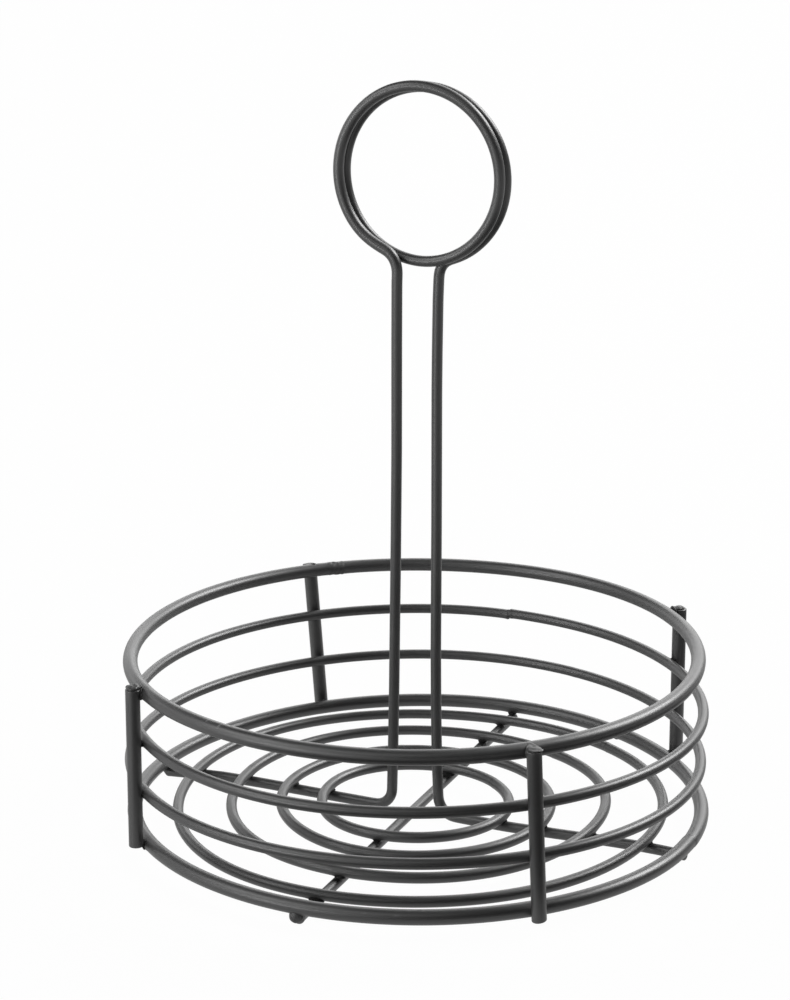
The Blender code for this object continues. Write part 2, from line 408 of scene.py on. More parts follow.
@dataclass(frozen=True)
class PowderCoat:
    """Satin black powder coat, baked onto steel.

    The coat has a cloudy tone, a fine orange peel and grains of powder.  It is
    paler where it was rubbed, and painted paler as a painted highlight on bead crests
    and cut wire ends; it is painted darker and duller as painted shade near welds and
    in the hollows of beads, and on the burnt skin of seams.
    The scales count features to the metre, the shares say how far a mark covers
    the coat's own colour, and the dulls how much each adds to the roughness.
    """

    name: str
    grey: float
    wear_and_sheen_grey: float
    shade_and_burn_grey: float
    roughness: float
    cloud_depth: float
    peel_depth: float
    grain_depth: float
    specular: float
    cloud_scale: float = 38.0
    peel_scale: float = 620.0
    grain_scale: float = 2300.0
    shade_and_burn_share: float = 0.8
    wear_and_sheen_share: float = 0.7
    cloud_dull: float = 0.10
    grain_dull: float = 0.08
    shade_and_burn_dull: float = 0.22
    wear_and_sheen_dull: float = 0.06

    def material(self) -> bpy.types.Material:
        """Make the node material of the coat.

        Returns:
            The new material.
        """
        made, bench = new_material(self.name)
        place = bench.node("ShaderNodeTexCoord", {}, {}, "Object")
        cloud = bench.noise(place, self.cloud_scale, 3.0)
        peel = bench.noise(place, self.peel_scale, 2.0)
        grain = bench.noise(place, self.grain_scale, 2.0, 0.6)
        wear_and_sheen = bench.mark("wear_and_sheen")
        shade_and_burn = bench.mark("shade_and_burn")

        # The grains break up the edge of a pale mark: rub wear, and painted highlight on bead crests and
        # cut ends.
        wear_and_sheen_mask = (wear_and_sheen * (0.35 + grain)).between(0.25, 0.75)
        # The cloud and half as much grain set the tone between a dark and a light grey.
        tone = cloud * self.cloud_depth + grain * (0.5 * self.cloud_depth)
        swing = 0.75 * self.cloud_depth
        dark, light = opaque(self.grey * (1.0 - swing)), opaque(self.grey * (1.0 + swing))
        colour = self.mixed(bench, tone.between(0.0, 2.0 * swing), dark, light)
        # Painted shade: the coat darker near welds and in bead hollows, and on a seam's burnt skin.
        colour = self.mixed(bench, shade_and_burn * self.shade_and_burn_share, colour, opaque(self.shade_and_burn_grey))
        # Paler coat: real rub wear of the scuffs, and painted highlight on bead crests and cut wire ends.
        colour = self.mixed(bench, wear_and_sheen_mask * self.wear_and_sheen_share, colour, opaque(self.wear_and_sheen_grey))
        rough = self.roughness + (cloud - 0.5) * self.cloud_dull + (grain - 0.5) * self.grain_dull
        rough = rough + shade_and_burn * self.shade_and_burn_dull + wear_and_sheen_mask * self.wear_and_sheen_dull
        height = peel * self.peel_depth + grain * self.grain_depth
        normal = bench.node(
            "ShaderNodeBump", {}, {"Height": height, "Strength": 1.0, "Distance": 1.0}, "Normal"
        )
        shader = bench.node(
            "ShaderNodeBsdfPrincipled",
            {},
            {
                "Base Color": colour,
                "Roughness": rough,
                "Normal": normal,
                "Metallic": 0.0,
                "Specular IOR Level": self.specular,
            },
            "BSDF",
        )
        bench.node("ShaderNodeOutputMaterial", {}, {"Surface": shader})
        return made

    @staticmethod
    def mixed(bench: Bench, share: Reading, first: object, second: object) -> Reading:
        """Blend of two colours by a share from 0 to 1."""
        settings = {"data_type": "RGBA"}
        return bench.node("ShaderNodeMix", settings, {0: share, 6: first, 7: second}, 2)


WIRE_COAT = PowderCoat(
    "satin_black_wire",
    grey=0.019,
    wear_and_sheen_grey=0.110,
    shade_and_burn_grey=0.009,
    roughness=0.43,
    cloud_depth=0.30,
    peel_depth=3e-6,
    grain_depth=1e-6,
    specular=0.67,
)
WELD_COAT = PowderCoat(
    "satin_black_weld",
    grey=0.024,
    wear_and_sheen_grey=0.090,
    shade_and_burn_grey=0.004,
    roughness=0.48,
    cloud_depth=0.40,
    peel_depth=10e-6,
    grain_depth=3e-6,
    specular=0.5,
)
# A darker, duller copy of the weld coat for the collars between wires: painted shade in the joints.
SHADED_JOINT_COAT = PowderCoat(
    "shaded_dull_joint",
    grey=0.014,
    wear_and_sheen_grey=0.050,
    shade_and_burn_grey=0.004,
    roughness=0.62,
    cloud_depth=0.40,
    peel_depth=10e-6,
    grain_depth=3e-6,
    specular=0.2,
)


@dataclass(frozen=True)
class Coats:
    """Materials of the wires, of the welds that show, and of the joints between wires, whose coat is a
    darker, duller copy that stands for painted shade.
    """

    wire: bpy.types.Material
    weld: bpy.types.Material
    joint: bpy.types.Material


@dataclass(frozen=True)
class WireTip:
    """Sheared end of a wire: how its rim is rounded, its coat bulges and its cut slants."""

    edge: float = 0.7 * MM
    bulb: float = 0.0
    slant: float = 0.0
    slant_facing: float = 0.0
    order: float = 3.0
    fade: float = 4.0 * MM
    bulb_reach: float = 2.2 * MM
    nearest: float = 0.04
    rows: int = 12

    def distances(self) -> np.ndarray:
        """Distances of the end's rows from the tip, closest together at the tip."""
        return self.edge * np.linspace(self.nearest, 1.0, self.rows) ** self.order

    def share(self, distance: np.ndarray) -> np.ndarray:
        """Share of the full radius near the tip.

        It is a superellipse, (1 - left ** order) ** (1 / order) with left = 1 - distance / edge,
        times the bulge of the coat.

        Args:
            distance: Distances from the tip.

        Returns:
            One share per distance.
        """
        left = 1.0 - np.clip(distance / self.edge, 0.0, 1.0)
        bulge = 1.0 + self.bulb * bell(distance, self.bulb_reach)
        return (1.0 - left**self.order) ** (1.0 / self.order) * bulge

    def shift(self, distance: np.ndarray, section: np.ndarray) -> np.ndarray:
        """Share of the radius by which the slanted cut moves points along the wire."""
        fade = np.clip(1.0 - distance / self.fade, 0.0, 1.0) ** 2
        return math.tan(self.slant) * fade[:, None] * np.cos(section - self.slant_facing)


@dataclass
class Wire:
    """An open wire: a circle carried along a line of points, with two cut ends.

    Each point is path + share * radius * (cos(a) * first + sin(a) * second), where
    first and second are square to the path and first is the one nearest to facing.
    """

    line: np.ndarray
    radius: float
    facing: np.ndarray
    tips: tuple[WireTip, WireTip]
    step: float = 1.2 * MM
    sides: int = 28
    end_sheen: float = 0.5
    end_sheen_reach: float = 0.9 * MM
    shade_reach: float = 2.0 * MM

    def skin(self, spots: np.ndarray) -> Skin:
        """Build the wire's surface.

        Args:
            spots: Weld places, as rows of xyz.

        Returns:
            The surface, with painted shade near the welds and its cut ends painted a little paler as a
            painted highlight.
        """
        lengths = walked(self.line)
        total = lengths[-1]
        body = np.linspace(0.0, total, int(total / self.step))
        edge = max(tip.edge for tip in self.tips)
        body = body[(body > edge) & (body < total - edge)]
        far_end = (total - self.tips[1].distances())[::-1]
        rows = np.concatenate((self.tips[0].distances(), body, far_end))
        path = placed(rows, lengths, self.line)
        along = unit(np.gradient(path, rows, axis=0))
        first = unit(self.facing - (along @ self.facing)[:, None] * along)
        second = np.cross(along, first)
        section = np.linspace(0.0, TURN, self.sides, endpoint=False)
        share = self.tips[0].share(rows) * self.tips[1].share(total - rows)
        circle = np.cos(section)[:, None] * first[:, None]
        circle = circle + np.sin(section)[:, None] * second[:, None]
        grid = path[:, None] + (self.radius * share)[:, None, None] * circle
        slide = self.tips[0].shift(rows, section) - self.tips[1].shift(total - rows, section)
        grid = grid + (self.radius * share[:, None] * slide)[..., None] * along[:, None]
        end = np.minimum(rows, total - rows)
        # Painted highlight: the cut ends painted paler.
        wear_and_sheen = np.repeat(self.end_sheen * bell(end, self.end_sheen_reach)[:, None], self.sides, axis=1)
        # Painted shade near the weld spots.
        return Skin(grid, wear_and_sheen, nearness(grid, spots, self.shade_reach))


@dataclass(frozen=True)
class Seam:
    """Butt weld where the two ends of a ring's wire meet.

    angle is its place in degrees, out and up are how far the two ends miss each
    other, swell is how far the upset metal stands proud along half_length each
    way, groove is the depth of the line between the ends, burn is how far the
    rough, dull skin of the weld goes each way, and blend is how softly one end
    passes into the other.  fade is how far off the ends are in line again.
    """

    angle: float
    out: float
    up: float
    swell: float
    half_length: float = 1.2 * MM
    groove: float = 0.16 * MM
    burn: float = 0.8 * MM
    blend: float = 0.3 * MM
    fade: float = 9.0 * MM
    groove_width: float = 0.35 * MM
    speckle_size: float = 1.6 * MM
    speckle_depth: float = 0.07 * MM

    def step(self, away: np.ndarray) -> np.ndarray:
        """Half a step from one end to the other: tanh(away / blend), dying off with distance."""
        return 0.5 * np.tanh(away / self.blend) * np.exp(-np.abs(away) / self.fade)

    def burnt(self, away: np.ndarray) -> np.ndarray:
        """Burnt skin, from 1 near the seam straight down to 0 where the burn ends."""
        steepness = 2.5
        return np.clip(steepness - steepness * np.abs(away) / self.burn, 0.0, 1.0)


@dataclass(frozen=True)
class Scuff:
    """Rub mark on a ring's wire: its angle and facing in degrees, and how pale it is."""

    angle: float
    facing: float
    width: float = 0.5 * MM
    spread: float = 0.5
    depth: float = 0.05 * MM
    pale: float = 1.0

    def mark(self, away: np.ndarray, section: np.ndarray) -> np.ndarray:
        """Bell curve of the distance along the wire times one of the angle round it."""
        round_way = wrapped(section - math.radians(self.facing))
        return bell(away, self.width)[:, None] * bell(round_way, self.spread)


@dataclass
class Ring:
    """A closed ring of wire, with the seam of its two ends.

    A point is at the ring's angle p and the section's angle a.  It lies at radius
    + out(p) + wire(p, a) * cos(a) from the axis and at height + up(p) + wire(p, a) * sin(a).
    waves says how far the hand-bent ring is out of true, in millimetres: the cosine
    and the sine of one, two and three waves round it.  lifts says the same of its
    height, after an even lift.  wander and heave are the depths of the small waves
    left over, and the weld sizes say how the wire swells towards what it is welded to.
    """

    node: str
    seed: int
    seams: tuple[Seam, ...]
    waves: tuple[float, ...]
    lifts: tuple[float, ...]
    scuffs: tuple[Scuff, ...] = ()
    steps: int = 288
    sides: int = 28
    front: float = math.radians(292.0)
    girth_mean: float = 1.03
    girth_swing: float = 0.04
    wander: float = 0.06 * MM
    heave: float = 0.08 * MM
    weld_swell: float = 0.35 * MM
    weld_reach: float = 1.3 * MM
    weld_spread: float = 0.7
    shade_reach: float = 2.6 * MM
    fine_reach: float = 5.0 * MM
    fine_steps: int = 51
    closest: float = 0.05 * MM
    radius: float = field(init=False)
    height: float = field(init=False)
    wire: float = field(init=False)

    def __post_init__(self) -> None:
        """Read the ring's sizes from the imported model."""
        low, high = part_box(self.node)
        self.wire = (high.z - low.z) / 2.0
        self.height = (high.z + low.z) / 2.0
        self.radius = (high.x - low.x) / 2.0 - self.wire

    def reach(self, angles: np.ndarray) -> np.ndarray:
        """Distance of the wire's centre from the axis, with the three waves round the ring.

        Args:
            angles: Angles round the ring, in radians.

        Returns:
            One distance per angle.
        """
        turns = np.arange(1, 4)[:, None] * angles
        waves = MM * np.array(self.waves)
        return self.radius + waves[0::2] @ np.cos(turns) + waves[1::2] @ np.sin(turns)

    def rise(self, angles: np.ndarray) -> np.ndarray:
        """Height of the wire's centre, with the three waves round the ring.

        Args:
            angles: Angles round the ring, in radians.

        Returns:
            One height per angle.
        """
        turns = np.arange(1, 4)[:, None] * angles
        lifts = MM * np.array(self.lifts)
        return self.height + lifts[0] + lifts[1::2] @ np.cos(turns) + lifts[2::2] @ np.sin(turns)

    def girth(self, angles: np.ndarray) -> np.ndarray:
        """Radius of the wire, whose coat is thicker at the front of the rack than at the back."""
        return self.wire * (self.girth_mean + self.girth_swing * np.cos(angles - self.front))

    def angles(self) -> np.ndarray:
        """Angles round the ring, closer together at its seams and marks.

        Returns:
            Angles in rising order, with none closer to the last than the closest step.
        """
        fine = np.linspace(-self.fine_reach, self.fine_reach, self.fine_steps) / self.radius
        places = [math.radians(mark.angle) for mark in (*self.seams, *self.scuffs)]
        even = np.linspace(0.0, TURN, self.steps, endpoint=False)
        extra = [(place + fine) % TURN for place in places]
        angles = np.sort(np.concatenate((even, *extra)))
        return angles[np.concatenate(((True,), np.diff(angles) > self.closest / self.radius))]

    def speckle(self, away: np.ndarray, section: np.ndarray, size: float) -> np.ndarray:
        """Uneven height of a burnt seam, a ripple over the wire as if it were straight.

        Args:
            away: Distance of each row from the seam.
            section: Angles round the wire.
            size: Typical distance between two crests.

        Returns:
            One height for each row and angle.
        """
        shape = (len(away), len(section))
        round_wire = self.wire * np.stack((np.cos(section), np.sin(section)), -1)
        along = np.broadcast_to(away[:, None, None], (*shape, 1))
        straight = np.concatenate((along, np.broadcast_to(round_wire, (*shape, 2))), -1)
        return ripple(straight, self.seed, size)

    def skin(self, contacts: list[tuple[float, float]], spots: np.ndarray) -> Skin:
        """Build the ring's surface.

        Args:
            contacts: Ring angle and section angle, in radians, of each welded spot.
            spots: The same spots as rows of xyz.

        Returns:
            The closed surface, swollen a little towards each wire that it is welded to.
        """
        angles = self.angles()
        section = np.linspace(0.0, TURN, self.sides, endpoint=False)
        phase = np.random.default_rng(self.seed).uniform(0.0, TURN, 4)
        out = self.wander * np.sin(5.0 * angles + phase[1])
        up = self.heave * (np.sin(3.0 * angles + phase[2]) + 0.6 * np.sin(4.0 * angles + phase[3]))
        wire = np.repeat(self.girth(angles)[:, None], self.sides, 1)
        wear_and_sheen = np.zeros_like(wire)
        shade_and_burn = np.zeros_like(wire)
        for seam in self.seams:
            away = wrapped(angles - math.radians(seam.angle)) * self.radius
            step = seam.step(away)
            out += seam.out * step
            up += seam.up * step
            lumps = 1.0 + 0.6 * np.sin(3.0 * section + phase[0]) + 0.4 * np.sin(5.0 * section + phase[2])
            wire += seam.swell * bell(away, seam.half_length)[:, None] * lumps
            wire -= seam.groove * bell(away, seam.groove_width)[:, None]
            burnt = seam.burnt(away)[:, None]
            speckle = self.speckle(away, section, seam.speckle_size)
            wire += seam.speckle_depth * burnt * speckle
            # A seam's burnt skin takes the same dark mark as the painted shade.
            shade_and_burn = np.maximum(shade_and_burn, burnt * np.clip(0.75 + 0.5 * speckle, 0.0, 1.0))
        for scuff in self.scuffs:
            away = wrapped(angles - math.radians(scuff.angle)) * self.radius
            mark = scuff.mark(away, section)
            wear_and_sheen = np.maximum(wear_and_sheen, scuff.pale * mark)
            wire -= scuff.depth * mark
        for angle, facing in contacts:
            away = wrapped(angles - angle) * self.radius
            round_way = wrapped(section - facing)
            swell = self.weld_swell * bell(away, self.weld_reach)[:, None]
            wire += swell * bell(round_way, self.weld_spread)
        reach = (self.reach(angles) + out)[:, None] + wire * np.cos(section)
        rise = (self.rise(angles) + up)[:, None] + wire * np.sin(section)
        grid = np.stack((reach * np.cos(angles)[:, None], reach * np.sin(angles)[:, None], rise), -1)
        # Painted shade: darker near each weld spot.
        shade_and_burn = np.maximum(shade_and_burn, nearness(grid, spots, self.shade_reach))
        return Skin(grid, wear_and_sheen, shade_and_burn, looped=True)


@dataclass
class Lump:
    """A bead of weld metal: an uneven ellipse carried along a short line.

    The ellipse's half sizes across and upright, one for each point of the line,
    fall to nothing at both ends by a superellipse of the order blunt, and every
    point is moved out by an uneven height, rough deep and size from crest to crest.
    shade is how far the whole bead is painted dark and dull as painted shade, and the
    crest field how far its crests are painted pale as a painted highlight.
    """

    line: np.ndarray
    across: np.ndarray
    half_across: np.ndarray
    half_upright: np.ndarray
    seed: int
    rough: float
    size: float
    blunt: float = 2.0
    shade: float = 0.0
    crest_sheen: float = 0.35
    rows: int = 22
    sides: int = 20

    def skin(self) -> Skin:
        """Build the bead's surface.

        Returns:
            The surface, with painted shade in its hollows and a painted highlight on its crests.
        """
        share = 0.5 - 0.5 * np.cos(math.pi * (np.arange(self.rows) + 0.5) / self.rows)
        knots = np.linspace(0.0, 1.0, len(self.line))
        path = placed(share, knots, self.line)
        along = unit(np.gradient(path, share, axis=0))
        across = unit(self.across - (along @ self.across)[:, None] * along)
        upright = np.cross(along, across)
        full = (1.0 - np.abs(2.0 * share - 1.0) ** self.blunt) ** (1.0 / self.blunt)
        wide = np.interp(share, knots, self.half_across) * full
        tall = np.interp(share, knots, self.half_upright) * full
        section = np.linspace(0.0, TURN, self.sides, endpoint=False)
        cosine, sine = np.cos(section)[None, :, None], np.sin(section)[None, :, None]
        out = cosine * across[:, None] + sine * upright[:, None]
        sideways = wide[:, None, None] * cosine * across[:, None]
        upwards = tall[:, None, None] * sine * upright[:, None]
        grid = path[:, None] + sideways + upwards
        uneven = self.rough * full[:, None] * ripple(grid, self.seed, self.size)
        grid = grid + uneven[..., None] * out
        height = np.clip(uneven / self.rough, -1.0, 1.0)
        # Painted highlight: the crests painted paler.
        wear_and_sheen = self.crest_sheen * (1.0 - self.shade) * np.maximum(height, 0.0)
        # Painted shade: the hollows darker, and the whole bead as far as its shade says.
        return Skin(grid, wear_and_sheen, np.clip(self.shade - height, 0.0, 1.0))


@dataclass(frozen=True)
class PostPlan:
    """Where a post stands: angles and heights of its two ends, and its foot's slant."""

    top_angle: float
    bottom_angle: float
    bottom: float
    top: float
    slant: float

    def angle(self, height: float) -> float:
        """Angle of the leaning post at a height, in radians."""
        share = (height - self.bottom) / (self.top - self.bottom)
        return math.radians(self.bottom_angle + share * (self.top_angle - self.bottom_angle))


@dataclass(frozen=True)
class CapPlan:
    """Weld on a post's top: its start, end, width, thickness, skew and uneven skin."""

    start: float
    reach: float
    half_width: float
    half_thickness: float
    skew: float
    rough: float
    size: float


@dataclass
class Basket:
    """The wall: four rings, four posts outside them, and the welds between.

    cap_shares are places along the line of a cap of weld, and cap_widths and
    cap_thicknesses its sizes there beside those of its plan.  cap_seat is the share
    of its half thickness by which the line lies over the post's end.
    """

    outer_radius: float = 95.0 * MM
    weld_gap: float = 0.3 * MM
    post_wire: float = 2.35 * MM
    post_top_edge: float = 0.4 * MM
    post_slant_facing: float = 1.2
    ring_names: tuple[str, ...] = ("base_ring", "hoop_1", "hoop_2", "rim_ring")
    posts: dict[Corner, PostPlan] = field(default_factory=lambda: {
        Corner.BACK_RIGHT: PostPlan(46.8, 46.8, 4.5 * MM, 58.8 * MM, 0.05),
        Corner.BACK_LEFT: PostPlan(135.4, 133.1, 4.5 * MM, 58.2 * MM, -0.08),
        Corner.FRONT_LEFT: PostPlan(226.5, 226.0, 5.5 * MM, 59.4 * MM, 0.06),
        Corner.FRONT_RIGHT: PostPlan(313.2, 314.6, 3.5 * MM, 59.3 * MM, 0.10),
    })
    caps: dict[Corner, CapPlan] = field(default_factory=lambda: {
        Corner.BACK_RIGHT: CapPlan(*mm(1.6, 6.4, 2.0, 0.50, 0.2, 0.12, 2.2)),
        Corner.BACK_LEFT: CapPlan(*mm(0.6, 6.4, 2.6, 0.22, 0.5, 0.06, 1.8)),
        Corner.FRONT_LEFT: CapPlan(*mm(1.8, 6.9, 2.6, 0.95, 0.0, 0.10, 1.6)),
        Corner.FRONT_RIGHT: CapPlan(*mm(-0.6, 7.2, 2.5, 0.45, 0.35, 0.10, 2.0)),
    })
    cap_shares: tuple[float, ...] = (0.0, 0.22, 0.42, 0.62, 1.0)
    cap_widths: tuple[float, ...] = (0.30, 0.50, 0.74, 0.94, 1.06)
    cap_thicknesses: tuple[float, ...] = (0.8, 1.0, 1.1, 1.0, 0.9)
    cap_seat: float = 0.35
    cap_shoulder: float = 2.0 * MM
    cap_edge: float = 2.6 * MM
    cap_blunt: float = 3.5
    cap_rows: int = 34
    cap_sides: int = 28
    collar_scale: float = 0.8
    seams: dict[str, tuple[Seam, ...]] = field(default_factory=lambda: {
        "base_ring": (
            Seam(62.6, *mm(0.10, -0.40, 0.12)),
            Seam(0.3, *mm(0.34, 0.0, 0.02, 1.0, 0.02, 0.25, 0.9)),
        ),
        "hoop_1": (Seam(76.3, *mm(0.0, 0.06, 0.0, 1.0, 0.0, 0.2, 0.8)),),
        "hoop_2": (Seam(91.7, *mm(0.1, -0.45, 0.10)),),
        "rim_ring": (Seam(130.4, *mm(0.0, 0.06, 0.07, 2.6, 0.04, 3.4)),),
    })
    scuffs: dict[str, tuple[Scuff, ...]] = field(default_factory=lambda: {
        "rim_ring": (
            Scuff(252.7, 60.0),
            Scuff(249.3, 75.0, 0.35 * MM),
            Scuff(254.5, 110.0, 0.4 * MM),
            Scuff(260.1, 120.0),
        ),
        "base_ring": (
            Scuff(288.6, 35.0, 2.4 * MM, 0.30, 0.0, 0.55),
            Scuff(282.6, 40.0, 2.6 * MM, 0.30, 0.0, 0.5),
        ),
    })
    waves: dict[str, tuple[float, ...]] = field(default_factory=lambda: {
        "base_ring": (0.44, -0.09, 0.59, 0.26, 0.08, -0.21),
        "hoop_1": (-0.22, -0.05, 0.20, 0.12, -0.03, -0.50),
        "hoop_2": (0.15, 0.05, -0.13, -0.15, 0.10, 0.07),
        "rim_ring": (-0.76, -0.05, -0.26, -0.36, -0.15, -0.22),
    })
    lifts: dict[str, tuple[float, ...]] = field(default_factory=lambda: {
        "base_ring": (-0.20, 0.07, 0.10, -0.12, 0.07, 0.08, -0.24),
        "hoop_1": (0.03, -0.19, -0.25, 0.06, -0.10, -0.06, -0.21),
        "hoop_2": (-0.14, -0.41, 0.06, 0.06, -0.05, -0.07, -0.22),
        "rim_ring": (-0.09, 0.32, -0.02, 0.09, 0.09, 0.03, 0.10),
    })
    rings: dict[str, Ring] = field(init=False)

    def __post_init__(self) -> None:
        """Make the four rings."""
        self.rings = {
            name: Ring(
                name, seed, self.seams[name], self.waves[name], self.lifts[name], self.scuffs.get(name, ())
            )
            for seed, name in enumerate(self.ring_names)
        }

    @property
    def post_radius(self) -> float:
        """Distance of the posts' centre lines from the axis."""
        return self.outer_radius + self.weld_gap + self.post_wire

    def contact(self, name: str, corner: Corner) -> tuple[float, np.ndarray]:
        """Find the spot where a ring is welded to a post.

        Args:
            name: Name of the ring.
            corner: The post.

        Returns:
            The spot's angle in radians, and its place in the gap between the two wires.
        """
        ring = self.rings[name]
        angle = self.posts[corner].angle(ring.height)
        height = ring.rise(np.array((angle,)))[0]
        return angle, (self.outer_radius + self.weld_gap / 2.0) * heading(angle) + height * UP

    def build(self, floor: "Floor", coats: Coats) -> None:
        """Build and dress the rings, the posts and their welds.

        Args:
            floor: The floor, whose supports are welded under the base ring.
            coats: Coats of the wires and the welds.
        """
        for name, ring in self.rings.items():
            found = [(*self.contact(name, corner), 0.0) for corner in Corner]
            if name == "base_ring":
                found += floor.contacts(ring)
            contacts = [(angle, facing) for angle, _, facing in found]
            spots = np.array([spot for _, spot, _ in found])
            add_piece("wire_" + name, [ring.skin(contacts, spots)], coats.wire, name)
        for corner, plan in self.posts.items():
            self.build_post(corner, plan, coats.wire)
            for name in self.ring_names[:-1]:
                self.build_collar(name, corner, coats.joint)
            self.build_cap(corner, coats.weld)

    def build_post(self, corner: Corner, plan: PostPlan, wire: bpy.types.Material) -> None:
        """Build one post as a straight wire with a slanted cut at its foot.

        Args:
            corner: The post.
            plan: Where it stands.
            wire: Coat of the wire.
        """
        ends = np.array([
            self.post_radius * heading(plan.angle(height)) + height * UP
            for height in (plan.bottom, plan.top)
        ])
        outward = heading(plan.angle((plan.bottom + plan.top) / 2.0))
        foot = WireTip(slant=plan.slant, slant_facing=self.post_slant_facing)
        tips = (foot, WireTip(edge=self.post_top_edge))
        spots = np.array([self.contact(name, corner)[1] for name in self.ring_names])
        skin = Wire(ends, self.post_wire, outward, tips).skin(spots)
        node = "post_" + corner.value
        add_piece("wire_" + node, [skin], wire, node)

    def build_collar(self, name: str, corner: Corner, joint: bpy.types.Material) -> None:
        """Build the collar of squeezed metal between a ring and a post.

        Args:
            name: Name of the ring.
            corner: The post.
            joint: Coat of the collar.
        """
        angle, spot = self.contact(name, corner)
        node = f"weld_{name}_{corner.value}"
        along = np.cross(UP, heading(angle))
        skins = collar(spot, along, UP, self.rings[name].wire, seed_of(node), self.collar_scale)
        add_piece("bead_" + node, skins, joint, node)

    def build_cap(self, corner: Corner, weld: bpy.types.Material) -> None:
        """Build the tongue of weld from the rim's top over a post's end, and its collar.

        The tongue's line runs outwards over the rim, whose round top is at sqrt(wire
        squared - out squared), and over the post's end, whichever is higher.  Past
        cap_edge it keeps to the post's end.

        Args:
            corner: Post that the weld caps.
            weld: Coat of the weld.
        """
        angle, spot = self.contact("rim_ring", corner)
        rim = self.rings["rim_ring"]
        plan = self.caps[corner]
        outward = heading(angle)
        side = np.cross(UP, outward)
        seat = self.posts[corner].top - rim.height + self.cap_seat * plan.half_thickness
        shares = np.array(self.cap_shares)
        outs = plan.start + shares * (plan.reach - plan.start)
        shoulder = np.sqrt(np.maximum(rim.wire**2 - np.minimum(outs, self.cap_shoulder) ** 2, 0.0))
        ups = np.where(outs < self.cap_edge, np.maximum(shoulder, seat), seat)
        skews = plan.skew * shares
        centre = rim.radius * outward + rim.height * UP
        line = centre + outs[:, None] * outward + ups[:, None] * UP + skews[:, None] * side
        half_across = plan.half_width * np.array(self.cap_widths)
        half_upright = plan.half_thickness * np.array(self.cap_thicknesses)
        node = "weld_rim_ring_" + corner.value
        tongue = Lump(
            line,
            side,
            half_across,
            half_upright,
            seed_of(node),
            plan.rough,
            plan.size,
            self.cap_blunt,
            rows=self.cap_rows,
            sides=self.cap_sides,
        )
        skins = [tongue.skin()] + collar(spot, side, UP, rim.wire, seed_of(node) + 1)
        add_piece("bead_" + node, skins, weld, node)


def seed_of(node: str) -> int:
    """Seed drawn from a node's name, the same on each run."""
    return sum((place + 1) * ord(letter) for place, letter in enumerate(node))


def collar(
    spot: np.ndarray, along: np.ndarray, across: np.ndarray, wire: float, seed: int, scale: float = 1.0
) -> list[Skin]:
    """Thin uneven collar of metal squeezed out round the spot where two wires cross.

    Args:
        spot: Place between the two wires.
        along: Direction of the first wire.
        across: Direction of the second wire.
        wire: Radius of the first wire.
        seed: Seed of the collar's shape.
        scale: Size of the collar beside the usual one.

    Returns:
        One skin: a flat lump whose thin way runs from wire to wire.
    """
    least, most, flatness, knots = 0.85, 1.05, 0.40, 5
    rough, size = mm(0.13, 1.3)
    draw = np.random.default_rng(seed)
    half = scale * wire * draw.uniform(least, most)
    line = spot + np.linspace(-half, half, knots)[:, None] * along
    wide = np.full(knots, scale * wire * draw.uniform(least, most))
    thick = np.full(knots, scale * wire * flatness)
    # The whole collar is painted dark and dull as painted shade between the wires.
    return [Lump(line, across, wide, thick, seed, rough, size, shade=0.9).skin()]


